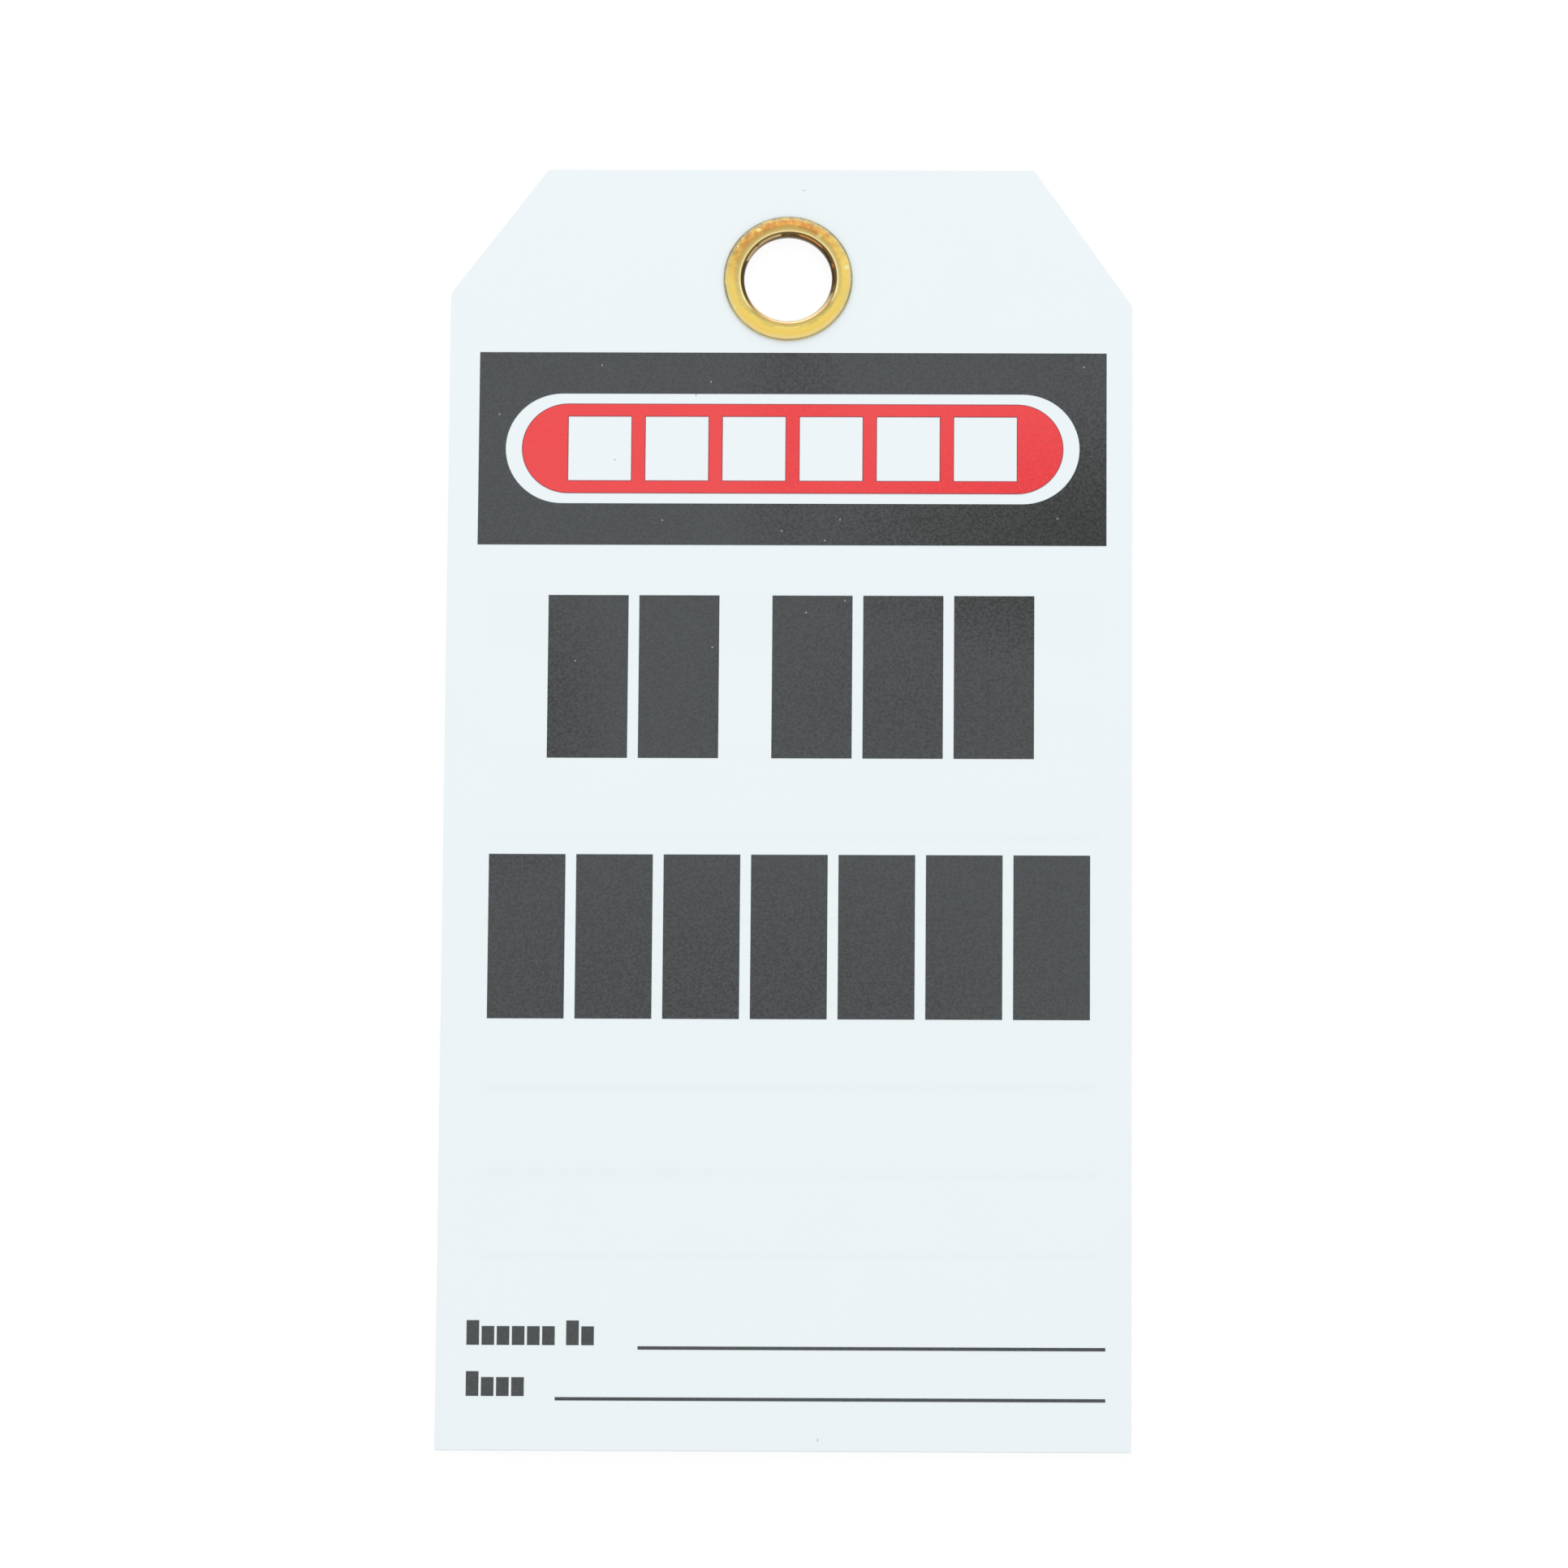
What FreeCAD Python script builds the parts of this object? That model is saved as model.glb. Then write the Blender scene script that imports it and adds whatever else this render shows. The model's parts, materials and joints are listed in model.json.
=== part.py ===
import FreeCAD, Part
import math
import os

# Danger tag: a printed vinyl sheet with a brass eyelet, lying on its back.
# Millimetres. The origin is on the eyelet's axis, half way through the sheet.
# +X is to the right and +Y is up the tag as its front is read. +Z comes out of the front.

# Sheet, die-cut with its two top corners taken off
sheet_width = 76.2
sheet_length = 146.05
sheet_thickness = 0.38
left_cut_width = 10.8
left_cut_height = 14.5
right_cut_width = 11.0
right_cut_height = 15.8

# Eyelet, one stamped piece of brass: domed flange, barrel, and an end rolled over on the back
eyelet_from_top = 12.7
eyelet_off_centre = -0.4
eyelet_wall = 0.3
bore_diameter = 9.8
mouth_band_width = 1.1
mouth_slope_deg = 12.0
mouth_rounding = 0.57
crest_rounding = 1.15
outer_ring_width = 1.2
outer_ring_slope_deg = 9.0
rim_rounding = 0.3
rim_straight = 0.15
roll_inner_radius = 0.35
roll_straight = 0.08
barrel_clearance = 0.1

# Ink films and the margins that both sides of the print keep
ink_thickness = 0.03
print_margin = 3.1
front_print_shift = 0.25
back_print_shift = 0.5

# Header: black panel, white ring of bare sheet, red field, row of bare blocks
header_below_eyelet = 1.4
header_height = 22.25
panel_end_width = 3.0
panel_side_width = 4.78
ring_end_width = 1.8
ring_side_width = 1.16
header_block_count = 6
header_block_gap = 1.6
header_block_end_gap = 5.2
header_block_side_gap = 1.5

# Message: two rows of heavy blocks. A row is its words, each given by its number of blocks
message_below_header = 5.8
message_height = 18.65
message_line_gap = 11.0
message_block_gap = 1.2
message_word_gap = 5.9
message_line_1_words = (2, 3)
message_line_1_inset = 8.0
message_line_2_words = (7,)
message_line_2_inset = 1.75

# Entries at the foot: small label blocks, each with a ruled line to write on
entry_foot = 6.0
entry_spacing = 5.7
entry_block_width = 1.38
entry_block_gap = 0.28
entry_word_gap = 1.25
entry_capital_height = 2.75
entry_small_height = 2.1
date_entry_words = (4,)
date_rule_gap = 3.4
name_entry_words = (6, 2)
name_rule_gap = 4.8
rule_thickness = 0.37
rule_below_label = 0.1

# Back: a heading row, a label, and ruled lines for remarks
heading_below_header = 5.3
heading_height = 6.7
heading_words = (2, 3, 6, 4, 3)
heading_inset = 1.1
heading_block_gap = 0.7
heading_word_gap = 2.6
remark_label_below_heading = 6.9
remark_label_words = (6,)
remark_label_rule_gap = 1.2
remark_first_rule_drop = 2.0
remark_rule_spacing = 9.5
remark_foot_margin = 17.0

# Places worked out from the sizes above
bore_radius = bore_diameter / 2
flange_radius = bore_radius + mouth_band_width + outer_ring_width
sheet_centre = -eyelet_off_centre
sheet_left = sheet_centre - sheet_width / 2
sheet_right = sheet_centre + sheet_width / 2
sheet_top = eyelet_from_top
sheet_foot = sheet_top - sheet_length
front_face = sheet_thickness / 2
back_face = -sheet_thickness / 2
print_width = sheet_width - 2 * print_margin
header_top = -flange_radius - header_below_eyelet
header_foot = header_top - header_height


def save(shape, node):
    """Write one node of the tag."""
    shape.exportStep("parts/" + node + ".step")


def cut_sheet():
    """The vinyl sheet, with the hole that the barrel goes through."""
    corners = [
        (sheet_left, sheet_foot),
        (sheet_right, sheet_foot),
        (sheet_right, sheet_top - right_cut_height),
        (sheet_right - right_cut_width, sheet_top),
        (sheet_left + left_cut_width, sheet_top),
        (sheet_left, sheet_top - left_cut_height),
    ]
    points = [FreeCAD.Vector(x, y, back_face) for x, y in corners]
    outline = Part.makePolygon(points + points[:1])
    blank = Part.Face(outline).extrude(FreeCAD.Vector(0, 0, sheet_thickness))
    hole_radius = bore_radius + eyelet_wall + barrel_clearance
    hole = Part.makeCylinder(hole_radius, sheet_thickness, FreeCAD.Vector(0, 0, back_face))
    return blank.cut(hole)


def rounded_face(corners):
    """Face inside a loop of corners. Each corner is a point and the radius that rounds it."""
    edges = []
    ends = []
    for place, (corner, radius) in enumerate(corners):
        before = (corner - corners[place - 1][0]).normalize()
        after = (corners[(place + 1) % len(corners)][0] - corner).normalize()
        setback = radius * math.tan(before.getAngle(after) / 2)
        start = corner - before * setback
        end = corner + after * setback
        if radius > 0:
            inward = (after - before).normalize()
            depth = math.hypot(radius, setback) - radius
            edges.append(Part.Arc(start, corner + inward * depth, end).toShape())
        ends.append((start, end))
    for place, (start, _) in enumerate(ends):
        last_end = ends[place - 1][1]
        if last_end.distanceToPoint(start) > 1e-6:
            edges.append(Part.LineSegment(last_end, start).toShape())
    return Part.Face(Part.Wire(Part.__sortEdges__(edges)))


def stamped_eyelet():
    """The eyelet, turned from its section: flange over the front, barrel, roll on the back."""
    ring_slope = math.radians(outer_ring_slope_deg)
    mouth_slope = math.radians(mouth_slope_deg)
    roll_radius = roll_inner_radius + eyelet_wall
    barrel_radius = bore_radius + eyelet_wall
    crest_radius = bore_radius + mouth_band_width
    roll_inside = barrel_radius + 2 * roll_inner_radius
    roll_outside = roll_inside + eyelet_wall
    rim_height = front_face + rim_straight + rim_rounding * math.tan((math.pi / 2 - ring_slope) / 2)
    crest_height = rim_height + outer_ring_width * math.tan(ring_slope)
    mouth_height = crest_height - mouth_band_width * math.tan(mouth_slope)
    roll_inner_foot = back_face - roll_straight - roll_inner_radius
    roll_foot = roll_inner_foot - eyelet_wall
    hidden_cut = roll_inner_radius * (2 - math.sqrt(2))
    section = [
        (flange_radius, front_face, 0),
        (flange_radius, rim_height, rim_rounding),
        (crest_radius, crest_height, crest_rounding),
        (bore_radius, mouth_height, mouth_rounding),
        (bore_radius, roll_foot, roll_radius),
        (roll_outside, roll_foot, roll_radius),
        (roll_outside, back_face, 0),
        (roll_inside, back_face, 0),
        (roll_inside, roll_inner_foot + hidden_cut, 0),
        (roll_inside - hidden_cut, roll_inner_foot, 0),
        (barrel_radius + hidden_cut, roll_inner_foot, 0),
        (barrel_radius, roll_inner_foot + hidden_cut, 0),
        (barrel_radius, front_face, 0),
    ]
    corners = [(FreeCAD.Vector(r, 0, z), rounding) for r, z, rounding in section]
    return rounded_face(corners).revolve(FreeCAD.Vector(0, 0, 0), FreeCAD.Vector(0, 0, 1), 360)


def plain_field(left, foot, right, top):
    """Flat field with square corners, at the height of the origin."""
    return Part.makePlane(right - left, top - foot, FreeCAD.Vector(left, foot, 0))


def round_ended_field(centre, middle, half_width, half_height):
    """Flat field about its centre, with a half circle at each end."""
    sides = [(-1, -1), (1, -1), (1, 1), (-1, 1)]
    corners = [
        (FreeCAD.Vector(centre + x * half_width, middle + y * half_height, 0), half_height)
        for x, y in sides
    ]
    return rounded_face(corners)


def film(flat, side):
    """Lay a flat field down as a film of ink: side is 1 on the front and -1 on the back."""
    laid = flat.copy()
    laid.translate(FreeCAD.Vector(0, 0, side * front_face))
    return laid.extrude(FreeCAD.Vector(0, 0, side * ink_thickness))


def block_row(words, left, right, foot, height, block_gap, word_gap):
    """Row of equal blocks that fills the width from left to right, grouped in words."""
    count = sum(words)
    gaps = (count - len(words)) * block_gap + (len(words) - 1) * word_gap
    width = (right - left - gaps) / count
    blocks = []
    here = left
    for word in words:
        for _ in range(word):
            blocks.append(plain_field(here, foot, here + width, foot + height))
            here += width + block_gap
        here += word_gap - block_gap
    return blocks


def header_parts(centre):
    """The header's black panel and red field, centred across the tag at centre."""
    middle = (header_top + header_foot) / 2
    half_width = print_width / 2
    panel = plain_field(centre - half_width, header_foot, centre + half_width, header_top)
    opening_half_height = header_height / 2 - panel_side_width
    opening_half_width = half_width - panel_end_width
    opening = round_ended_field(centre, middle, opening_half_width, opening_half_height)
    red_half_height = opening_half_height - ring_side_width
    red_half_width = opening_half_width - ring_end_width
    red = round_ended_field(centre, middle, red_half_width, red_half_height)
    block_half_height = red_half_height - header_block_side_gap
    block_half_span = red_half_width - header_block_end_gap
    bare_blocks = block_row(
        (header_block_count,),
        centre - block_half_span,
        centre + block_half_span,
        middle - block_half_height,
        2 * block_half_height,
        header_block_gap,
        header_block_gap,
    )
    return panel.cut(opening), red.cut(bare_blocks)


def message_row(words, inset, line):
    """One row of heavy blocks under the front header. The first row is line 0."""
    centre = sheet_centre + front_print_shift
    half_width = print_width / 2 - inset
    top = header_foot - message_below_header - line * (message_height + message_line_gap)
    return block_row(
        words,
        centre - half_width,
        centre + half_width,
        top - message_height,
        message_height,
        message_block_gap,
        message_word_gap,
    )


def label_blocks(words, left, foot):
    """Small blocks of one size from left onwards. A word starts with a taller block."""
    blocks = []
    here = left
    for word in words:
        for place in range(word):
            height = entry_capital_height if place == 0 else entry_small_height
            blocks.append(plain_field(here, foot, here + entry_block_width, foot + height))
            here += entry_block_width + entry_block_gap
        here += entry_word_gap - entry_block_gap
    return blocks, here - entry_word_gap


def ruled_line(left, right, label_foot):
    """Ruled line that hangs just under the foot of its label."""
    top = label_foot - rule_below_label
    return plain_field(left, top - rule_thickness, right, top)


def front_entries():
    """Labels and ruled lines at the foot of the front, from the lowest up."""
    left = sheet_centre + front_print_shift - print_width / 2
    right = left + print_width
    labels = []
    rules = []
    entries = [(date_entry_words, date_rule_gap), (name_entry_words, name_rule_gap)]
    for line, (words, rule_gap) in enumerate(entries):
        foot = sheet_foot + entry_foot + line * entry_spacing
        blocks, label_end = label_blocks(words, left, foot)
        labels += blocks
        rules.append(ruled_line(label_end + rule_gap, right, foot))
    return labels, rules


def back_print():
    """Heading row, label and ruled lines of the back, laid out as its reader sees them."""
    centre = -(sheet_centre + back_print_shift)
    left = centre - print_width / 2 + heading_inset
    right = centre + print_width / 2 - heading_inset
    heading_foot = header_foot - heading_below_header - heading_height
    heading = block_row(
        heading_words,
        left,
        right,
        heading_foot,
        heading_height,
        heading_block_gap,
        heading_word_gap,
    )
    label_foot = heading_foot - remark_label_below_heading - entry_capital_height
    label, label_end = label_blocks(remark_label_words, left, label_foot)
    first_rule = label_foot - remark_first_rule_drop
    lowest_rule = sheet_foot + remark_foot_margin
    rules = [ruled_line(label_end + remark_label_rule_gap, right, first_rule)]
    line = 1
    while first_rule - line * remark_rule_spacing > lowest_rule:
        rules.append(ruled_line(left, right, first_rule - line * remark_rule_spacing))
        line += 1
    return heading, label, rules


def seen_from_back(fields):
    """Turn fields laid out as the back's reader sees them over to the tag's own frame."""
    return [flat.mirror(FreeCAD.Vector(0, 0, 0), FreeCAD.Vector(1, 0, 0)) for flat in fields]


def films(fields, side):
    """A group of separate films on one side."""
    return Part.makeCompound([film(flat, side) for flat in fields])


os.makedirs("parts", exist_ok=True)

save(cut_sheet(), "tag_sheet")
save(stamped_eyelet(), "eyelet")

front_panel, front_oval = header_parts(sheet_centre + front_print_shift)
front_labels, front_rules = front_entries()
save(films([front_panel], 1), "front_header_panel")
save(films([front_oval], 1), "front_header_oval")
save(films(message_row(message_line_1_words, message_line_1_inset, 0), 1), "front_message_line_1")
save(films(message_row(message_line_2_words, message_line_2_inset, 1), 1), "front_message_line_2")
save(films(front_labels, 1), "front_entry_labels")
save(films(front_rules, 1), "front_entry_rules")

back_panel, back_oval = header_parts(sheet_centre + back_print_shift)
back_heading, back_label, back_rules = back_print()
save(films([back_panel], -1), "back_header_panel")
save(films([back_oval], -1), "back_header_oval")
save(films(seen_from_back(back_heading), -1), "back_heading")
save(films(seen_from_back(back_label), -1), "back_remark_label")
save(films(seen_from_back(back_rules), -1), "back_remark_rules")
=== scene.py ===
# %% [markdown]
# A danger tag: one die-cut sheet of white vinyl, printed in black and red on both sides, with a
# brass eyelet rolled into its top. The CAD frame already holds the sheet, the eyelet and each
# printed film at its real size, so this notebook adds what CAD leaves out: the finish of every
# surface, a finer turned eyelet, soft studio light and the camera.
#
# Everything is in metres in the CAD's own frame: +X is to the right and +Y is up the tag as its
# front is read, and +Z comes out of the printed front. The tag lies on its back.

import json
import math

import bpy
from mathutils import Euler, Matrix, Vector


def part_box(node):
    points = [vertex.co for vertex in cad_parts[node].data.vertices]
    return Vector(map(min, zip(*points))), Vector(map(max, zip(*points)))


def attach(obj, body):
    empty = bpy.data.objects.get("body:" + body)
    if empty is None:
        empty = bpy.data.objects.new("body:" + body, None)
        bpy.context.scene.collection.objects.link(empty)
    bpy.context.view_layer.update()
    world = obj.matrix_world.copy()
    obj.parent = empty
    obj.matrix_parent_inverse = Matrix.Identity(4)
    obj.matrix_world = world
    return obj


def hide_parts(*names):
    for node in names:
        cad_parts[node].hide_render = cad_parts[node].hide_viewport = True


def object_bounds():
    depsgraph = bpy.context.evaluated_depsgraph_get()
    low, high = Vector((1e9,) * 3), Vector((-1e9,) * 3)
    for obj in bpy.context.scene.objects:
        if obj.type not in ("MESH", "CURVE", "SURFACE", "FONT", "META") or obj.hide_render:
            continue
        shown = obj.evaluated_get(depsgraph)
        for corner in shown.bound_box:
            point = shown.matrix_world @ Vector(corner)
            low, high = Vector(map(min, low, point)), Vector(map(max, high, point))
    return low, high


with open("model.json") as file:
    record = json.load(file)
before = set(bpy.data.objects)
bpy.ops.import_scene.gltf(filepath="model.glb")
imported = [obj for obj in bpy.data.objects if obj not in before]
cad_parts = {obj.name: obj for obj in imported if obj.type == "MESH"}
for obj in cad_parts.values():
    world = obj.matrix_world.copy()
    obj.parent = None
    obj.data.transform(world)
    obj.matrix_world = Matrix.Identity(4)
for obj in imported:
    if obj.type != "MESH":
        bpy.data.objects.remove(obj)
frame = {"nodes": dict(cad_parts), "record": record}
cad_low, cad_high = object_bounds()
bpy.ops.object.select_all(action="DESELECT")

MM = 0.001
DEG = math.radians(1)

print("CAD box in mm:", [round(side / MM, 2) for side in cad_high - cad_low])

# %% [markdown]
# The camera comes first, because every later choice is judged through it. It could be placed by
# eye, but solving for its place from the edges measured in the photograph is truer. The edges
# alone don't settle how far the view is tilted, so the sheet's length was held at its stock size.
# That gives a view from about 1.37 m with a long lens, 14 degrees below square on. The camera is
# put over the middle of the tag, turned, and backed off along its own line of sight.

# %% The camera
camera_aim = Vector((0.40, -60.325, 0.19)) * MM
camera_tilt = 13.9354 * DEG
camera_turn = 1.0935 * DEG
camera_roll = 0.1769 * DEG
camera_offset = Vector((-0.397, 2.033, 1367.52)) * MM
photo_side = 1932
focal_pixels = 15217.6
sensor_width_mm = 36

bpy.ops.object.camera_add()
camera = bpy.context.object
camera.name = "camera"
camera.data.sensor_width = sensor_width_mm
camera.data.lens = focal_pixels / photo_side * sensor_width_mm
camera.rotation_mode = "ZYX"
camera.rotation_euler = Euler((camera_tilt, camera_turn, camera_roll), "ZYX")
camera.location = camera_aim + camera.rotation_euler.to_matrix() @ camera_offset
bpy.context.scene.camera = camera
print("lens in mm:", round(camera.data.lens, 1))

# %% [markdown]
# A printer names an ink in sRGB hex, but shaders count in linear light, so one function turns the
# one into the other. A second small function adds any node with its settings and links, so that
# each finish below reads as a list of what it is made of. The nodes could be set out by hand in
# the shader editor, but in code every number has a name and a reason.


# %% Colour, and one way to add a node
def linear(hex_colour):
    """Linear RGBA of an sRGB colour such as #ECF4F7."""
    channels = [int(hex_colour[i : i + 2], 16) / 255 for i in (1, 3, 5)]
    return [c / 12.92 if c <= 0.04045 else ((c + 0.055) / 1.055) ** 2.4 for c in channels] + [1]


def add(tree, kind, inputs=(), **settings):
    """Add a node with its settings and its inputs, which go by name or in their order.

    An input is a number or vector, a hex colour, or the node or socket that feeds it.
    """
    node = tree.nodes.new("ShaderNode" + kind)
    for name, value in settings.items():
        setattr(node, name, value)
    sockets = [socket for socket in node.inputs if socket.enabled]
    named = {socket.name: socket for socket in reversed(sockets)}
    for key, value in inputs.items() if isinstance(inputs, dict) else enumerate(inputs):
        socket = named[key] if isinstance(key, str) else sockets[key]
        if isinstance(value, bpy.types.Node):
            value = next(s for s in value.outputs if s.enabled)
        if isinstance(value, bpy.types.NodeSocket):
            tree.links.new(value, socket)
        else:
            socket.default_value = linear(value) if isinstance(value, str) else value
    return node


def start_finish(name):
    """A new material, its empty tree, and the Object coordinate of the point that is shaded."""
    material = bpy.data.materials.new(name)
    material.use_nodes = True
    material.node_tree.nodes.clear()
    place = add(material.node_tree, "TexCoord").outputs["Object"]
    return material, material.node_tree, place


bare_vinyl = "#ECF4F7"
print("bare vinyl in linear light:", [round(channel, 3) for channel in linear(bare_vinyl)])

# %% [markdown]
# Object coordinates are the frame's own metres, so each pattern is placed and scaled by real
# millimetres. Three simple shapes come up again and again on this tag. A soft block is the blurred
# outline of a printed field. An oval is a speck of dust, a pinhole or a patch of tone. A set of
# rings gives each distance from the eyelet's axis its own colour. All three are worked out from
# the distance to something, which stays sharp at any scale, where a painted picture would not.

# %% Soft blocks, ovals and rings
soft = {"interpolation_type": "SMOOTHSTEP"}
speck_core = 0.6
speck_edge = 1.4


def soft_block(tree, place, low, high, blur_mm):
    """Mask of the block from corner low to corner high, with edges blur_mm soft."""
    axes = add(tree, "SeparateXYZ", (place,)).outputs
    blur = blur_mm * MM / 2
    sides = []
    for axis, start, end in (("X", low.x, high.x), ("Y", low.y, high.y)):
        off_centre = add(tree, "Math", (axes[axis], (start + end) / 2), operation="SUBTRACT")
        off_centre = add(tree, "Math", (off_centre,), operation="ABSOLUTE")
        edge = (end - start) / 2
        fade = (off_centre, edge - blur, edge + blur, 1.0, 0.0)
        sides.append(add(tree, "MapRange", fade, **soft))
    return add(tree, "Math", sides, operation="MULTIPLY")


def ovals(tree, place, marks, full, gone):
    """Mask of ovals, each (x, y, half width, half height, strength), lengths in mm.

    An oval has its strength out to full times its size, and nothing beyond gone times its size.
    """
    mask = 0.0
    for x, y, half_width, half_height, strength in marks:
        fitted = add(tree, "Mapping", {
            "Vector": place,
            "Location": (-x / half_width, -y / half_height, 0),
            "Scale": (1 / (half_width * MM), 1 / (half_height * MM), 0),
        })
        from_centre = add(tree, "VectorMath", (fitted,), operation="LENGTH")
        oval = add(tree, "MapRange", (from_centre, full, gone, strength, 0.0), **soft)
        mask = add(tree, "Math", (oval, mask), operation="MAXIMUM")
    return mask


def front_specks(tree, place, marks):
    """Mask of small ovals that are only on the front."""
    specks = ovals(tree, place, marks, speck_core, speck_edge)
    height = add(tree, "SeparateXYZ", (place,)).outputs["Z"]
    front = add(tree, "Math", (height, 0.0), operation="GREATER_THAN")
    return add(tree, "Math", (specks, front), operation="MULTIPLY")


def rings(tree, radius, first_radius, stops):
    """Colour by radius. Each stop is (mm outside first_radius, hex colour)."""
    reach = stops[-1][0]
    share = add(tree, "MapRange", (radius, first_radius, first_radius + reach * MM))
    ramp = add(tree, "ValToRGB", (share,))
    elements = ramp.color_ramp.elements
    while len(elements) < len(stops):
        elements.new(1.0)
    for element, (offset, colour) in zip(elements, stops):
        element.position = offset / reach
        element.color = linear(colour)
    return ramp


print("a speck fades out from", speck_core, "to", speck_edge, "times its size")

# %% [markdown]
# The sheet is calendered vinyl: soft PVC rolled between steel drums, one of them blasted so that
# the sheet leaves it with a fine satin grain. The grain could be modelled, but its pebbles are a
# third of a millimetre wide and hardly deep, so a bump is enough. Ink copies the grain under it,
# so the ink takes the same bump.

# %% The grain of calendered vinyl
grain_size_mm = 0.34
grain_depth_mm = 0.006


def satin_grain(tree, place, strength):
    """Normal of the pebbled grain that the drum leaves in the vinyl and in the ink on it."""
    pebbles = add(tree, "TexNoise", {
        "Vector": place,
        "Scale": 1 / (grain_size_mm * MM),
        "Detail": 3.0,
        "Roughness": 0.6,
    })
    return add(tree, "Bump", {
        "Strength": strength,
        "Distance": grain_depth_mm * MM,
        "Height": pebbles,
    })


print("pebbles in mm:", grain_size_mm, "wide and", grain_depth_mm, "deep")

# %% [markdown]
# White vinyl of this thickness isn't quite opaque. The dark print of the back shows through the
# front as a ghost less than one hundredth darker, softened by the vinyl that the light crosses. A
# translucent shader could do it, but the effect is so faint that a blurred mask of the back's
# fields is truer and has no noise. The ruled lines repeat evenly, so one ping-pong of the height
# up the tag draws all seven.

# %% The print of the back, seen through the sheet
heading_blur_mm = 1.5
ghost_blur_mm = 1.0
ghost_strength = 0.17
broken_up_share = 0.45
back_rule_count = 7
back_rule_thickness = 0.37 * MM

rules_low, rules_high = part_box("back_remark_rules")
lowest_rule = rules_low.y + back_rule_thickness / 2
rule_spacing = (rules_high.y - rules_low.y - back_rule_thickness) / (back_rule_count - 1)


def back_print_ghost(tree, place):
    """Mask of the back's heading row, label and ruled lines."""
    heading = soft_block(tree, place, *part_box("back_heading"), heading_blur_mm)
    label = soft_block(tree, place, *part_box("back_remark_label"), ghost_blur_mm)
    blocks = add(tree, "Math", (heading, label), operation="MAXIMUM")
    blocks = add(tree, "Math", (blocks, broken_up_share), operation="MULTIPLY")
    height = add(tree, "SeparateXYZ", (place,)).outputs["Y"]
    from_lowest = add(tree, "Math", (height, lowest_rule), operation="SUBTRACT")
    from_nearest = add(tree, "Math", (from_lowest, rule_spacing / 2), operation="PINGPONG")
    rules = add(tree, "MapRange", (from_nearest, 0.0, ghost_blur_mm * MM, 1.0, 0.0), **soft)
    field = soft_block(tree, place, rules_low, rules_high, ghost_blur_mm)
    rules = add(tree, "Math", (rules, field), operation="MULTIPLY")
    return add(tree, "Math", (blocks, rules), operation="MAXIMUM")


print("ruled lines on the back in mm apart:", round(rule_spacing / MM, 2))

# %% [markdown]
# The vinyl itself is a cold, very faintly blue white, slightly cloudy where the rolling mixed it.
# Its IOR is that of PVC. Specks of dust and fibre lie on this one. They could be strewn at random,
# but there are only four, so they are drawn where they lie.

# %% Calendered white vinyl
vinyl_ior = 1.54
vinyl_roughness = 0.42
vinyl_satin_strength = 0.5
cloud_size_mm = 9.0
vinyl_tone = "#EBF4F7"
cloud_tone = "#EEF5F8"
ghost_tone = "#E2EAED"
dust_tone = "#85898C"
# Each speck is (x, y, half width, half height) in mm, and its strength.
dust = (
    (-10.19, -13.35, 0.06, 0.35, 0.75),
    (-19.17, -21.04, 0.10, 0.10, 0.60),
    (1.70, 10.35, 0.22, 0.10, 0.30),
    (4.23, -132.13, 0.08, 0.17, 0.55),
)


def white_vinyl():
    """Cloudy white vinyl, with the ghost of the back's print and specks of dust."""
    material, tree, place = start_finish("calendered_white_vinyl")
    clouds = add(tree, "TexNoise", {
        "Vector": place,
        "Scale": 1 / (cloud_size_mm * MM),
        "Detail": 4.0,
    })
    colour = add(tree, "Mix", (clouds, vinyl_tone, cloud_tone), data_type="RGBA")
    ghost = back_print_ghost(tree, place)
    ghost = add(tree, "Math", (ghost, ghost_strength), operation="MULTIPLY")
    colour = add(tree, "Mix", (ghost, colour, ghost_tone), data_type="RGBA")
    specks = front_specks(tree, place, dust)
    colour = add(tree, "Mix", (specks, colour, dust_tone), data_type="RGBA")
    shader = add(tree, "BsdfPrincipled", {
        "Base Color": colour,
        "Roughness": vinyl_roughness,
        "IOR": vinyl_ior,
        "Normal": satin_grain(tree, place, vinyl_satin_strength),
    })
    add(tree, "OutputMaterial", {"Surface": shader})
    print("vinyl nodes:", len(tree.nodes))
    return material


# %% [markdown]
# The print is screen ink made for vinyl: a pigmented PVC lacquer pushed through a mesh, about two
# hundredths of a millimetre thick. It dries satin. Two things tell it from plain plastic. A
# rougher haze lies on it, thinner in some patches; the haze is painted paler with sheen, and where
# it is thin the ink is painted darker and its grain shows as painted glints. And here and there
# dust left a pinhole of bare white. Noise alone would put the patches anywhere, so a few large
# ovals are laid over a faint noise; the strongest darkens the top right, where the painted sheen
# falls off. Small ovals are the pinholes.

# %% Where the ink is clear and without painted sheen, and its pinholes
# Each patch is (x, y, half width, half height) in mm, and its strength.
# Clear patches are less rough, and painted darker where the sheen falls off.
clear_unsheened_patches = (
    (35.0, -30.0, 48.0, 23.0, 1.0),
    (0.5, -18.0, 10.0, 36.0, 0.45),
    (35.0, -10.0, 24.0, 18.0, 0.25),
    (15.0, -50.0, 45.0, 25.0, 0.3),
    (-32.0, -52.0, 20.0, 30.0, 0.65),
    (-8.0, -84.0, 70.0, 30.0, 0.36),
)
pinhole_places = (
    (-20.7, -10.1), (-32.1, -15.8), (-13.8, -28.0), (-0.5, -29.2), (-8.5, -12.0),
    (6.0, -27.9), (4.3, -30.3), (30.2, -27.7), (33.1, -10.2), (2.3, -38.6),
    (6.6, -37.2), (-8.1, -42.6), (-23.3, -44.2),
)
pinhole_radius_mm = 0.09
pinhole_strength = 0.35
pinhole = (pinhole_radius_mm, pinhole_radius_mm, pinhole_strength)
pinholes = [centre + pinhole for centre in pinhole_places]
print("pinholes:", len(pinholes))

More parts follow.
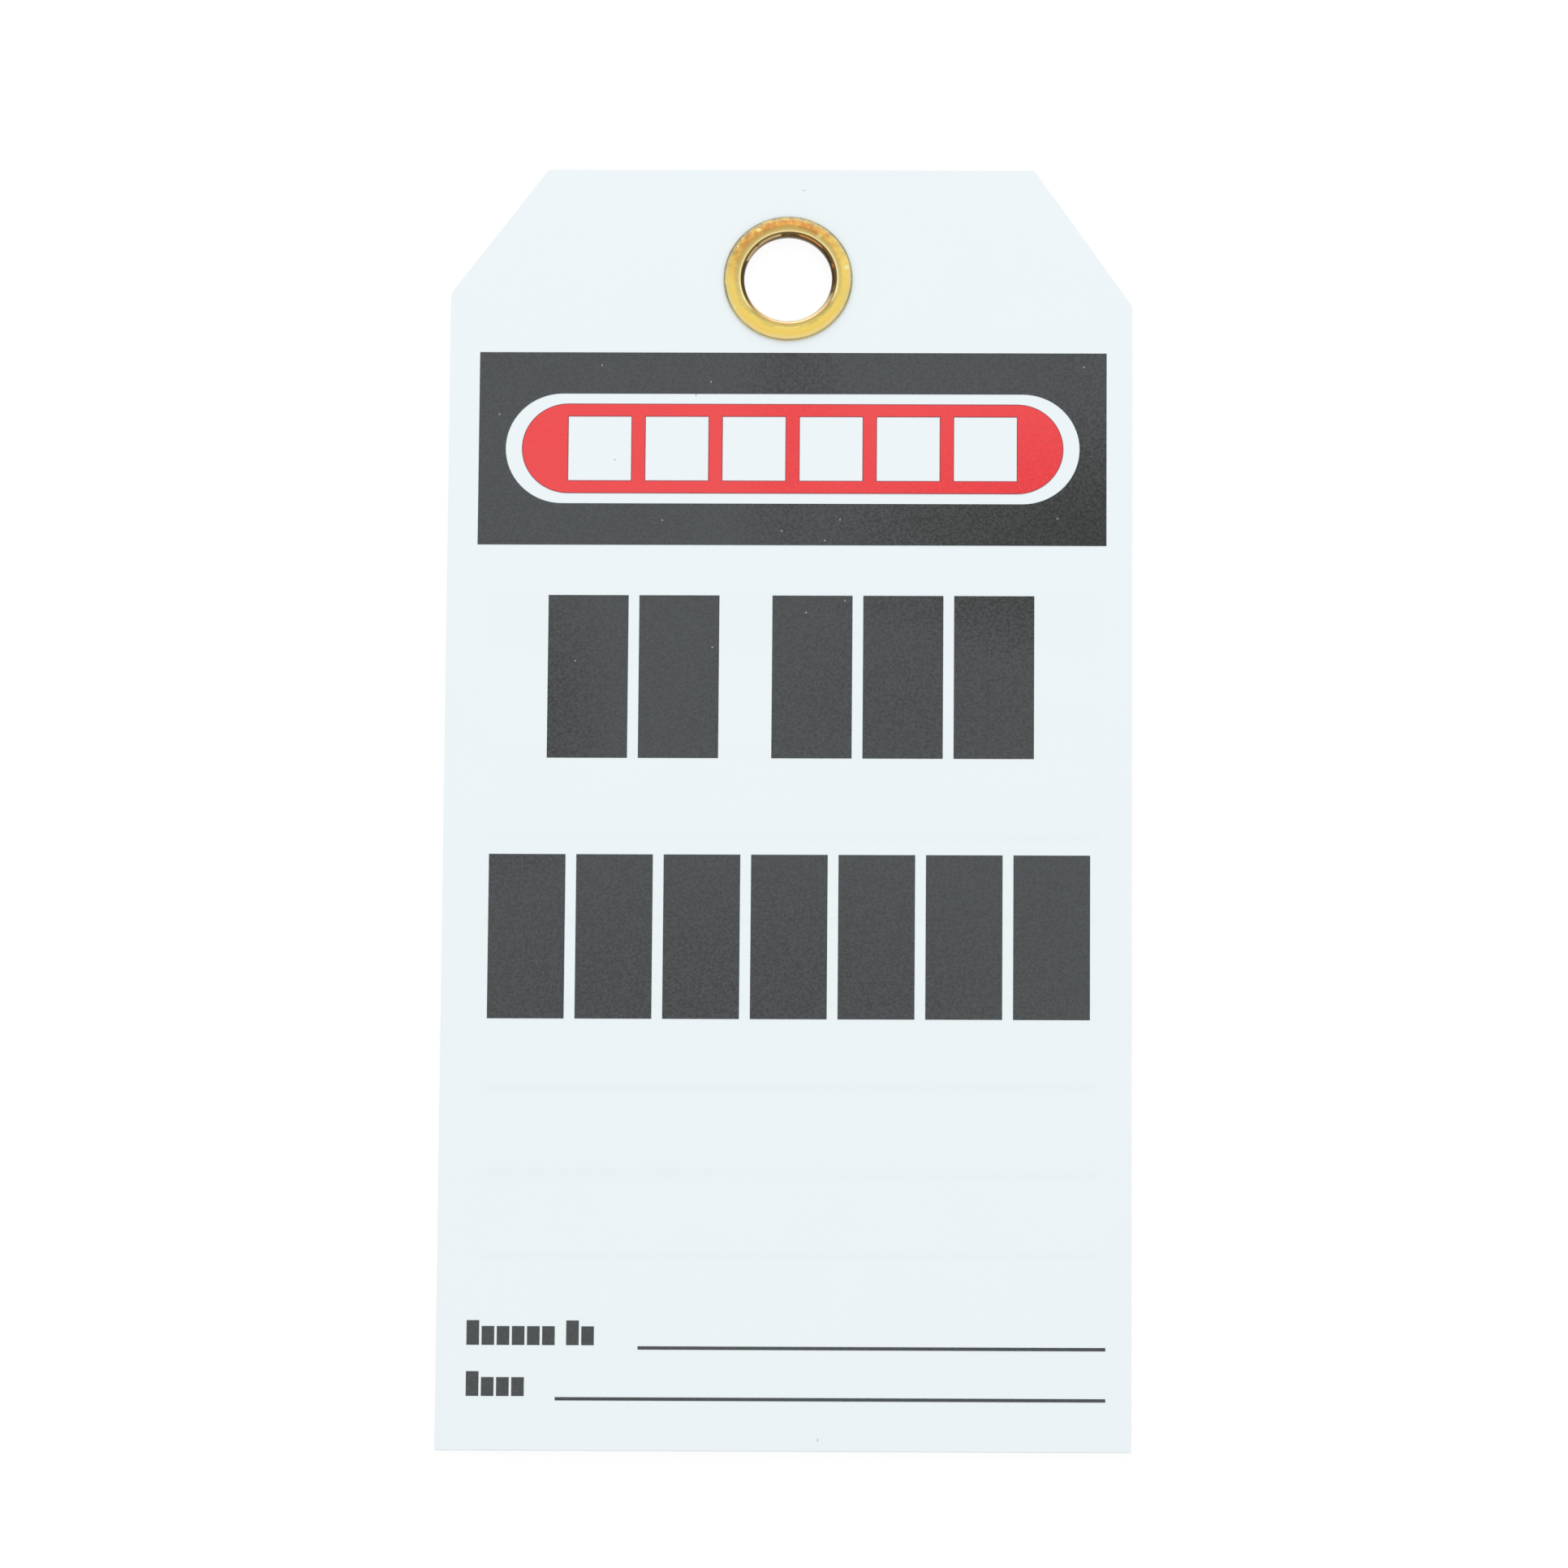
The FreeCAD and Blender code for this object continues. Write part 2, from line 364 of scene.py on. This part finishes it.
# %% [markdown]
# The red field has a thin maroon line along all its edges, also round the bare blocks in it. It is
# taken for a keyline: a hairline of black printed over the red's edge, about a tenth of a
# millimetre wide, to make the edge crisp. The line could be a mesh, but it has no height, so
# the finish works it out: how far a point is from the field's round-ended outline, and how far
# from the nearest block. Where the lesser of the two is small, the red is darker.

# %% The keyline of the red field
block_count = 6
block_gap = 1.6 * MM
block_end_gap = 5.2 * MM
block_side_gap = 1.5 * MM
keyline_width = 0.13 * MM
keyline_colour = "#9A3A44"


def inside_outline(tree, aside, up, low, high):
    """How far a point is inside the outline with round ends that fills the box low to high."""
    end_radius = (high.y - low.y) / 2
    straight = (high.x - low.x) / 2 - end_radius
    past_straight = add(tree, "Math", (aside, straight), operation="SUBTRACT")
    past_straight = add(tree, "Math", (past_straight, 0.0), operation="MAXIMUM")
    from_spine = add(tree, "CombineXYZ", (past_straight, up))
    from_spine = add(tree, "VectorMath", (from_spine,), operation="LENGTH")
    return add(tree, "Math", (end_radius, from_spine), operation="SUBTRACT")


def outside_blocks(tree, across, aside, up, low, high):
    """How far a point is outside the nearest of the bare blocks in the box low to high."""
    row = high.x - low.x - 2 * block_end_gap
    half_block = (row - (block_count - 1) * block_gap) / block_count / 2
    half_height = (high.y - low.y) / 2 - block_side_gap
    half_pitch = half_block + block_gap / 2
    stepped = add(tree, "Math", (across, half_pitch), operation="ADD")
    from_block_middle = add(tree, "Math", (stepped, half_pitch), operation="PINGPONG")
    beside = add(tree, "Math", (from_block_middle, half_block), operation="SUBTRACT")
    past_row = add(tree, "Math", (aside, row / 2), operation="SUBTRACT")
    beside = add(tree, "Math", (beside, past_row), operation="MAXIMUM")
    above = add(tree, "Math", (up, half_height), operation="SUBTRACT")
    return add(tree, "Math", (beside, above), operation="MAXIMUM")


def keyline(tree, place, red, field_node):
    """The colour red, turned maroon along the edges of the field that the node holds."""
    low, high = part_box(field_node)
    middle = (low + high) / 2
    axes = add(tree, "SeparateXYZ", (place,)).outputs
    across = add(tree, "Math", (axes["X"], middle.x), operation="SUBTRACT")
    aside = add(tree, "Math", (across,), operation="ABSOLUTE")
    up = add(tree, "Math", (axes["Y"], middle.y), operation="SUBTRACT")
    up = add(tree, "Math", (up,), operation="ABSOLUTE")
    from_outline = inside_outline(tree, aside, up, low, high)
    from_block = outside_blocks(tree, across, aside, up, low, high)
    from_edge = add(tree, "Math", (from_outline, from_block), operation="MINIMUM")
    line = add(tree, "MapRange", (from_edge, keyline_width / 2, keyline_width, 1.0, 0.0), **soft)
    return add(tree, "Mix", (line, red, keyline_colour), data_type="RGBA")


print("keyline in mm:", round(keyline_width / MM, 2))

# %% [markdown]
# Now the ink can be mixed. It has two tones: hazy, painted paler with sheen, and clear, without
# it.
# A speckle of painted glints from the grain lightens and darkens them, strongly in the clear
# patches and hardly at all under the haze. A coat over a base would be another way, but the haze
# is in the ink's own skin, so one satin layer is enough.

# %% Screen ink
ink_ior = 1.5
haze_roughness = 0.5
clear_roughness = 0.42
# The grain's real glints are finer than the camera sees, so these painted ones are drawn coarser.
ink_grain_mm = 0.3
faint_patch_mm = 14.0
faint_patch_strength = 0.2
glints_under_haze = 0.14
ink_satin_strength = 1.0


def screen_ink(name, hazy_sheened, clear, glint_depth, lined_field=None):
    """Satin ink: hazy with painted sheen, clear without, with painted glints of its grain, and a
    keyline if it fills the lined field.
    """
    material, tree, place = start_finish(name)
    faint = add(tree, "TexNoise", {"Vector": place, "Scale": 1 / (faint_patch_mm * MM)})
    faint = add(tree, "Math", (faint, faint_patch_strength), operation="MULTIPLY")
    patches = ovals(tree, place, clear_unsheened_patches, 0.0, 1.0)
    clear_unsheened = add(tree, "Math", (faint, patches), operation="MAXIMUM")
    tone = add(tree, "Mix", (clear_unsheened, hazy_sheened, clear), data_type="RGBA")
    painted_glints = add(tree, "TexNoise", {
        "Vector": place,
        "Scale": 1 / (ink_grain_mm * MM),
        "Roughness": 0.7,
    })
    painted_glints = add(tree, "MapRange", (painted_glints, 0.3, 0.7, -glint_depth, glint_depth), **soft)
    shown = add(tree, "MapRange", (clear_unsheened, 0.0, 1.0, glints_under_haze, 1.0))
    gain = add(tree, "Math", (painted_glints, shown, 1.0), operation="MULTIPLY_ADD")
    tone = add(tree, "VectorMath", (tone, gain), operation="SCALE")
    if lined_field:
        tone = keyline(tree, place, tone, lined_field)
    specks = front_specks(tree, place, pinholes)
    tone = add(tree, "Mix", (specks, tone, bare_vinyl), data_type="RGBA")
    roughness = add(tree, "MapRange", (clear_unsheened, 0.0, 1.0, haze_roughness, clear_roughness))
    shader = add(tree, "BsdfPrincipled", {
        "Base Color": tone,
        "Roughness": roughness,
        "IOR": ink_ior,
        "Normal": satin_grain(tree, place, ink_satin_strength),
    })
    add(tree, "OutputMaterial", {"Surface": shader})
    print(name, "nodes:", len(tree.nodes))
    return material


# %% [markdown]
# The eyelet is stamped from brass strip and rolled over with a punch. Its yellow is taken for a
# thin lacquer with some tarnish, and most of its tones below are painted light and shade. From the
# axis outwards there is the painted shade of the barrel's dark inside, a thin painted highlight on
# the mouth's edge, an olive band of painted reflection, the golden flange, its paler outer slope
# of painted reflection and a rim dulled by painted shade. Near the foot of the tag the mouth takes
# light from the far side, so it has its own set of tones, with a cream painted highlight and a
# lighter rim. Near the top the flange and its rim are painted darker and more orange, as shade.
# Lacquer could be a coat on the shader, but this one is thin and stained, so it only colours the
# metal, and these tones go in the base colour. Each is given at its distance in millimetres
# outside the barrel's wall.

# %% The tones of the brass, with their painted light and shade
# Beside the mouth: painted shade inside, a painted highlight on the edge, painted reflection on
# the olive band and paler slope, painted shade on the rim.
tones_beside = (
    (0.0, "#54432B"), (0.48, "#6F5B38"), (0.54, "#FFEDAC"), (0.66, "#F4DE98"), (0.76, "#CDBC7A"),
    (1.0, "#CFBB76"), (1.3, "#F0D06C"), (1.65, "#F0D06C"), (1.85, "#E6D088"), (2.08, "#E4D190"),
    (2.2, "#A9A27A"), (2.3, "#9A9472"),
)
# At the foot: painted light, a cream painted highlight in the mouth and a lighter rim.
lit_tones_at_foot = (
    (0.0, "#F0DCB0"), (0.30, "#F0DCB0"), (0.42, "#AE8650"), (0.54, "#A08250"), (0.62, "#978A52"),
    (0.85, "#A89A58"), (1.1, "#E6CA6C"), (1.3, "#F3D470"), (1.7, "#F3D068"), (1.95, "#F0D68A"),
    (2.12, "#ECD698"), (2.3, "#D6C290"),
)
# At the top: painted shade, darker and more orange on the flange and darker on the rim.
shaded_tones_at_top = (
    (0.0, "#5F4C30"), (0.46, "#6F5B38"), (0.53, "#FBE6A6"), (0.64, "#EBD38E"), (0.74, "#CDB874"),
    (0.95, "#C6A562"), (1.2, "#BC834A"), (1.65, "#B67A41"), (1.8, "#A8865A"), (2.05, "#958870"),
    (2.3, "#8E8668"),
)
# Each speck is (x, y, half width, half height) in mm, and its strength.
flange_specks = (
    (-3.35, 5.56, 0.26, 0.20, 0.55),
    (-5.61, 3.66, 0.14, 0.14, 0.60),
    (6.58, 1.23, 0.32, 0.27, 1.00),
    (3.47, 4.82, 0.30, 0.25, 0.50),
    (-5.90, -3.40, 0.20, 0.30, 0.50),
    (6.00, -3.50, 0.12, 0.30, 0.50),
)
flange_speck_tone = "#E9E6A4"
mottle_tone = "#EFD465"
print("tones:", len(tones_beside), len(lit_tones_at_foot), len(shaded_tones_at_top))

# %% [markdown]
# The tones, with their painted light and shade, are put together by direction from the axis, with
# a noise that makes every border wander as a stain does. The punch came down a tenth of a
# millimetre to the right, so the tones of the mouth are centred there, and those of the flange on
# the axis itself. The ring could be painted by hand, but numbers are easier to change and to check
# against the real eyelet.

# %% Where each tone lies
punch_centre = Vector((0.09, 0.0, 0.0)) * MM
stain_size_mm = 1.6
stain_reach = 0.07 * MM
stain_sway = 0.12
mottle_size_mm = 0.7
mottle_strength = 0.28
dull_band_ends = 0.7 * MM
flange_begins = 1.2 * MM
# A direction in degrees, then the nearness to it where a set of tones starts and where it is full.
foot_reach = (-90, 0.2, 0.75)
top_reach = (97, -0.05, 0.9)


def stain(tree, place):
    """Noise from -1 to 1 in patches the size of a stain."""
    # Noise gathers about its middle, 0.5, so 0.35 to 0.65 takes in nearly all of it.
    patches = add(tree, "TexNoise", {
        "Vector": place,
        "Scale": 1 / (stain_size_mm * MM),
        "Detail": 3.0,
    })
    return add(tree, "MapRange", (patches, 0.35, 0.65, -1.0, 1.0), **soft)


def towards(tree, place, degrees, low, high):
    """From 0 to 1 by how nearly a point lies in this direction from the axis."""
    flat = add(tree, "VectorMath", (place, (1, 1, 0)), operation="MULTIPLY")
    direction = add(tree, "VectorMath", (flat,), operation="NORMALIZE")
    way = (math.cos(degrees * DEG), math.sin(degrees * DEG), 0)
    nearness = add(tree, "VectorMath", (direction, way), operation="DOT_PRODUCT")
    sway = (stain(tree, place), stain_sway, nearness)
    nearness = add(tree, "Math", sway, operation="MULTIPLY_ADD")
    return add(tree, "MapRange", (nearness, low, high), **soft)


def brass_tones(tree, place, mouth_radius):
    """Base colour of the brass with its painted light and shade, by distance and direction from
    the eyelet's axis.
    """
    flat = add(tree, "VectorMath", (place, (1, 1, 0)), operation="MULTIPLY")
    radius = add(tree, "VectorMath", (flat,), operation="LENGTH")
    from_punch = add(tree, "VectorMath", (flat, punch_centre), operation="DISTANCE")
    wander = (stain(tree, place), stain_reach, radius)
    wavy_radius = add(tree, "Math", wander, operation="MULTIPLY_ADD")
    band_edge = (mouth_radius + dull_band_ends, mouth_radius + flange_begins)
    on_flange = add(tree, "MapRange", (radius, *band_edge), **soft)
    ring_radius = add(tree, "Mix", (on_flange, from_punch, wavy_radius), data_type="FLOAT")
    beside = rings(tree, ring_radius, mouth_radius, tones_beside)
    at_foot = rings(tree, ring_radius, mouth_radius, lit_tones_at_foot)
    at_top = rings(tree, ring_radius, mouth_radius, shaded_tones_at_top)
    near_foot = towards(tree, place, *foot_reach)
    near_top = towards(tree, place, *top_reach)
    colour = add(tree, "Mix", (near_foot, beside, at_foot), data_type="RGBA")
    colour = add(tree, "Mix", (near_top, colour, at_top), data_type="RGBA")
    specks = front_specks(tree, place, flange_specks)
    colour = add(tree, "Mix", (specks, colour, flange_speck_tone), data_type="RGBA")
    mottle = add(tree, "TexNoise", {
        "Vector": place,
        "Scale": 1 / (mottle_size_mm * MM),
        "Detail": 3.0,
        "Roughness": 0.6,
    })
    mottle = add(tree, "MapRange", (mottle, 0.4, 0.65, 0.0, mottle_strength), **soft)
    mottle = add(tree, "Math", (mottle, on_flange), operation="MULTIPLY")
    return add(tree, "Mix", (mottle, colour, mottle_tone), data_type="RGBA")


print("stains in mm:", stain_size_mm, "and mottle in mm:", mottle_size_mm)

# %% [markdown]
# Two painted reflections lie on the rounded mouth, one cream and one copper. They stand for what
# the far wall of the barrel and the lacquer throw back. The render finds some of that by itself,
# but not these streaks, so each is painted as a narrow ring that shows in its own direction only.

# %% The painted reflections in the mouth
streak_inside = 0.15 * MM
streak_outside = 0.33 * MM
streak_softness = 0.06 * MM
# Each painted reflection is a direction in degrees, the nearness where it starts and is full, and
# its colour.
painted_reflections = (
    (121, 0.86, 0.96, "#EBCB94"),
    (54, 0.84, 0.94, "#D68F54"),
)


def painted_mouth_reflections(tree, place, mouth_radius, colour):
    """The colour, with the painted reflections laid over it."""
    flat = add(tree, "VectorMath", (place, (1, 1, 0)), operation="MULTIPLY")
    from_punch = add(tree, "VectorMath", (flat, punch_centre), operation="DISTANCE")
    inside = mouth_radius + streak_inside
    outside = mouth_radius + streak_outside
    risen = add(tree, "MapRange", (from_punch, inside - streak_softness, inside))
    not_fallen = add(tree, "MapRange", (from_punch, outside - streak_softness, outside, 1.0, 0.0))
    ring = add(tree, "Math", (risen, not_fallen), operation="MULTIPLY")
    for degrees, low, high, reflection_colour in painted_reflections:
        share = towards(tree, place, degrees, low, high)
        share = add(tree, "Math", (share, ring), operation="MULTIPLY")
        colour = add(tree, "Mix", (share, colour, reflection_colour), data_type="RGBA")
    return colour


print("streaks in mm wide:", round((streak_outside - streak_inside) / MM, 2))

# %% [markdown]
# Bright sheet metal is never quite clean. Wiping left fine scratches in one direction, and the
# lacquer dried with small pits. Lines drawn one by one would look ruled, so the scratches are a
# noise that is stretched six times. They change the roughness and a very shallow bump.

# %% Lacquered stamped brass
brass_roughness = 0.3
smoothest = brass_roughness - 0.06
roughest = brass_roughness + 0.08
wipe_direction = 35 * DEG
wipe_stretch = 6
# Real scratches and pits are finer than the camera sees, so these are coarse enough to show.
scratch_length_mm = 0.5
pit_size_mm = 0.4
pit_share = 0.6
wear_depth_mm = 0.01
wear_strength = 0.6


def lacquered_brass(mouth_radius):
    """Brass in its tones of painted light and shade, with painted reflections round a mouth of
    this radius, scratches and pits.
    """
    material, tree, place = start_finish("lacquered_stamped_brass")
    along_wipe = add(tree, "Mapping", {
        "Vector": place,
        "Rotation": (0, 0, wipe_direction),
        "Scale": (1, wipe_stretch, 1),
    })
    scratches = add(tree, "TexNoise", {
        "Vector": along_wipe,
        "Scale": 1 / (scratch_length_mm * MM),
        "Detail": 4.0,
        "Roughness": 0.65,
    })
    pits = add(tree, "TexNoise", {
        "Vector": place,
        "Scale": 1 / (pit_size_mm * MM),
        "Detail": 3.0,
    })
    wear = add(tree, "Math", (pits, pit_share, scratches), operation="MULTIPLY_ADD")
    bump = add(tree, "Bump", {
        "Strength": wear_strength,
        "Distance": wear_depth_mm * MM,
        "Height": wear,
    })
    colour = brass_tones(tree, place, mouth_radius)
    colour = painted_mouth_reflections(tree, place, mouth_radius, colour)
    shader = add(tree, "BsdfPrincipled", {
        "Base Color": colour,
        "Metallic": 1.0,
        "Roughness": add(tree, "MapRange", (scratches, 0.3, 0.7, smoothest, roughest), **soft),
        "Normal": bump,
    })
    add(tree, "OutputMaterial", {"Surface": shader})
    print("brass nodes:", len(tree.nodes))
    return material


# %% [markdown]
# A stamped ring is the same all round, so it can be modelled as on a lathe. Its section is a loop
# of corners, each with the radius that rounds it. The first corner's circle is added, and its edge
# is extruded from corner to corner, moved up or down and opened or closed with a scale about the
# axis. The last circle is bridged to the first, and then each corner's ring of edges is bevelled
# by its own radius. A screw modifier would turn a drawn section too, but it would need the rounded
# section worked out point by point.

# %% A turned ring
same_place = 0.0005 * MM


def select_rings(mesh, corners):
    """In edit mode, select just the rings of edges at these corners, each (radius, height)."""
    bpy.ops.mesh.select_all(action="DESELECT")
    bpy.ops.object.mode_set(mode="OBJECT")
    for edge in mesh.edges:
        ends = [mesh.vertices[index].co for index in edge.vertices]
        edge.select = any(
            all(abs(end.xy.length - radius) < same_place for end in ends)
            and all(abs(end.z - height) < same_place for end in ends)
            for radius, height in corners
        )
    bpy.ops.object.mode_set(mode="EDIT")


def turned_ring(name, section, sides, rounding_steps):
    """A ring turned about the Z axis. section is its corners, each (radius, height, rounding)."""
    corners = [(radius, height) for radius, height, _ in section]
    radius, height = corners[0]
    bpy.ops.mesh.primitive_circle_add(vertices=sides, radius=radius, location=(0, 0, height))
    ring = bpy.context.object
    ring.name = name
    bpy.ops.object.transform_apply(location=True, rotation=True, scale=True)
    bpy.ops.object.mode_set(mode="EDIT")
    bpy.ops.mesh.select_mode(type="EDGE")
    bpy.ops.mesh.select_all(action="SELECT")
    for next_radius, next_height in corners[1:]:
        lift = (0, 0, next_height - height)
        bpy.ops.mesh.extrude_region_move(TRANSFORM_OT_translate={"value": lift})
        scale = next_radius / radius
        bpy.ops.transform.resize(value=(scale, scale, 1), center_override=(0, 0, next_height))
        radius, height = next_radius, next_height
    select_rings(ring.data, (corners[0], corners[-1]))
    bpy.ops.mesh.bridge_edge_loops()
    for number, (corner, (_, _, rounding)) in enumerate(zip(corners, section)):
        if rounding == 0:
            continue
        arriving = Vector(corner) - Vector(corners[number - 1])
        leaving = Vector(corners[(number + 1) % len(corners)]) - Vector(corner)
        setback = rounding * math.tan(arriving.angle(leaving) / 2)
        select_rings(ring.data, (corner,))
        bpy.ops.mesh.bevel(
            offset=setback, segments=rounding_steps, affect="EDGES", clamp_overlap=False
        )
    bpy.ops.mesh.select_all(action="SELECT")
    bpy.ops.mesh.remove_doubles(threshold=same_place)
    bpy.ops.mesh.normals_make_consistent(inside=False)
    bpy.ops.object.mode_set(mode="OBJECT")
    bpy.ops.object.shade_smooth_by_angle(angle=35 * DEG)
    ring.select_set(False)
    return ring


print("edges count as one place within mm:", same_place / MM)

# %% [markdown]
# The eyelet of the frame has the right form in coarse facets, and polished metal shows each facet
# as a break in its reflections. So a finer one stands in for it, from the same section: a domed
# flange that is highest one millimetre outside the mouth, a rounded mouth, a straight barrel, and
# the end rolled outwards under the sheet. Smoothing the coarse one would be quicker, but would
# shrink it. Its faces towards the sheet start from the sheet's own box, so it still grips it.

# %% The sizes of the eyelet
_, eyelet_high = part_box("eyelet")
sheet_low, sheet_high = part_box("tag_sheet")
bore = next(m for m in frame["record"]["mounts"] if m["name"] == "eyelet_bore")
bore_radius = bore["dims"]["r_mm"] * MM
front_face = sheet_high.z
back_face = sheet_low.z
flange_radius = eyelet_high.x
eyelet_wall = 0.3 * MM
crest_radius = bore_radius + 1.1 * MM
crest_rounding = 1.15 * MM
mouth_slope = 12 * DEG
mouth_rounding = 0.57 * MM
outer_slope = 9 * DEG
rim_rounding = 0.3 * MM
rim_straight = 0.15 * MM
roll_inner_radius = 0.35 * MM
roll_straight = 0.08 * MM

rim_height = front_face + rim_straight + rim_rounding * math.tan((90 * DEG - outer_slope) / 2)
crest_height = rim_height + (flange_radius - crest_radius) * math.tan(outer_slope)
mouth_height = crest_height - (crest_radius - bore_radius) * math.tan(mouth_slope)
barrel_radius = bore_radius + eyelet_wall
roll_inside = barrel_radius + 2 * roll_inner_radius
roll_outside = roll_inside + eyelet_wall
roll_radius = roll_inner_radius + eyelet_wall
roll_inner_foot = back_face - roll_straight - roll_inner_radius
roll_foot = roll_inner_foot - eyelet_wall
section_height = crest_height - roll_foot
print("section in mm high, before it is rounded:", round(section_height / MM, 2))

# %% [markdown]
# Now the section can be written down as a loop. It starts where the flange's rim meets the sheet,
# climbs over the crest, goes down the mouth and the barrel, round the roll, and comes back up
# outside the barrel. Twice as many sides would be smoother still, but a hundred and sixty already
# leave no corner to see in the reflections.

# %% The eyelet
eyelet_section = (
    (flange_radius, front_face, 0),
    (flange_radius, rim_height, rim_rounding),
    (crest_radius, crest_height, crest_rounding),
    (bore_radius, mouth_height, mouth_rounding),
    (bore_radius, roll_foot, roll_radius),
    (roll_outside, roll_foot, roll_radius),
    (roll_outside, back_face, 0),
    (roll_inside, back_face, 0),
    (roll_inside, roll_inner_foot, roll_inner_radius),
    (barrel_radius, roll_inner_foot, roll_inner_radius),
    (barrel_radius, front_face, 0),
)
eyelet = turned_ring("eyelet_turned", eyelet_section, sides=160, rounding_steps=8)
eyelet.data.materials.append(lacquered_brass(bore_radius))
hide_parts("eyelet")
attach(eyelet, "root")
print("eyelet faces:", len(eyelet.data.polygons))

# %% [markdown]
# The sheet and the films keep their CAD meshes, whose shapes are already right. Each only needs
# its finish. Front and back share one black ink. One red could serve both sides too, but its
# keyline is worked out from where the field lies, so each red field has a red of its own.

# %% The sheet and the print
def dress(nodes, material):
    """Give CAD nodes one finish."""
    for name in nodes:
        mesh = frame["nodes"][name].data
        mesh.materials.clear()
        mesh.materials.append(material)


slots = {row["node"]: row["material_slot"] for row in frame["record"]["subparts"]}
black_films = [node for node, slot in slots.items() if slot == "black_ink"]
red_films = [node for node, slot in slots.items() if slot == "red_ink"]
# Each hazy tone is painted paler with sheen, each clear tone is without it, and glint depth is how
# strongly the grain's painted glints show.
black = {"hazy_sheened": "#414547", "clear": "#222424", "glint_depth": 0.95}
red = {"hazy_sheened": "#EE4144", "clear": "#E9272E", "glint_depth": 0.15}
dress(["tag_sheet"], white_vinyl())
dress(black_films, screen_ink("black_screen_ink", **black))
for film in red_films:
    dress([film], screen_ink(film + "_red_screen_ink", **red, lined_field=film))
print("black films:", len(black_films), "red films:", len(red_films))

# %% [markdown]
# The tag lies on a plain white table. The picture's background is pure white. A brightly lit table
# would get there too, but its glare would wash out the brass. So the table shows a white of its
# own to the camera and to reflections, and only a small part of it takes light and soft shadow.

# %% The table
table_side = 8.0
table_tone = "#F2F2F2"
table_white = 1.05
shadow_share = 0.15

bpy.ops.mesh.primitive_plane_add(size=table_side, location=(0, 0, cad_low.z))
table = bpy.context.object
table.name = "table"
bpy.ops.object.transform_apply(location=True, rotation=True, scale=True)

table_board, tree, _ = start_finish("white_table_board")
board = add(tree, "BsdfDiffuse", {"Color": table_tone})
shown_white = add(tree, "Emission", {"Color": "#FFFFFF", "Strength": table_white})
ray = add(tree, "LightPath").outputs
seen = add(tree, "Math", (ray["Is Camera Ray"], ray["Is Glossy Ray"]), operation="MAXIMUM")
seen = add(tree, "Math", (seen, ray["Is Transmission Ray"]), operation="MAXIMUM")
white_share = add(tree, "Math", (seen, 1 - shadow_share), operation="MULTIPLY")
surface = add(tree, "MixShader", (white_share, board, shown_white))
add(tree, "OutputMaterial", {"Surface": surface})
table.data.materials.append(table_board)
print("table height in mm:", round(cad_low.z / MM, 2))

# %% [markdown]
# The light is a photographer's white tent: an even glow from all round and above, dimmer towards
# the horizon, which with the rim's painted shade draws the thin dark line round the eyelet's rim.
# One wide softbox stands low beyond the top of the tag. It gives the eyelet its short soft shadow
# towards the foot and, with the painted highlight in the brass, the warm glint inside its mouth.
# More lamps would fill that shadow, so there is just the one.

# %% The softbox and the tent
softbox_side = 1.4
softbox_power = 7.8
softbox_offset = Vector((-0.05, 1.3, 0.75))
horizon_glow = 0.35
overhead_glow = 0.955
overhead_from = 0.75

bpy.ops.object.light_add(type="AREA")
softbox = bpy.context.object
softbox.name = "softbox"
softbox.data.size = softbox_side
softbox.data.energy = softbox_power
softbox.location = camera_aim + softbox_offset
softbox.rotation_euler = (-softbox_offset).to_track_quat("-Z", "Y").to_euler()

tent = bpy.data.worlds.new("white_tent")
bpy.context.scene.world = tent
tent.use_nodes = True
sky = tent.node_tree
sky.nodes.clear()
outwards = add(sky, "TexCoord").outputs["Generated"]
height = add(sky, "SeparateXYZ", (outwards,)).outputs["Z"]
glow = add(sky, "MapRange", (height, 0.0, overhead_from, horizon_glow, overhead_glow), **soft)
backdrop = add(sky, "Background", {"Color": "#FFFFFF", "Strength": glow})
add(sky, "OutputWorld", {"Surface": backdrop})
bpy.context.scene.view_settings.view_transform = "Standard"
print("softbox at:", [round(side, 2) for side in softbox.location])
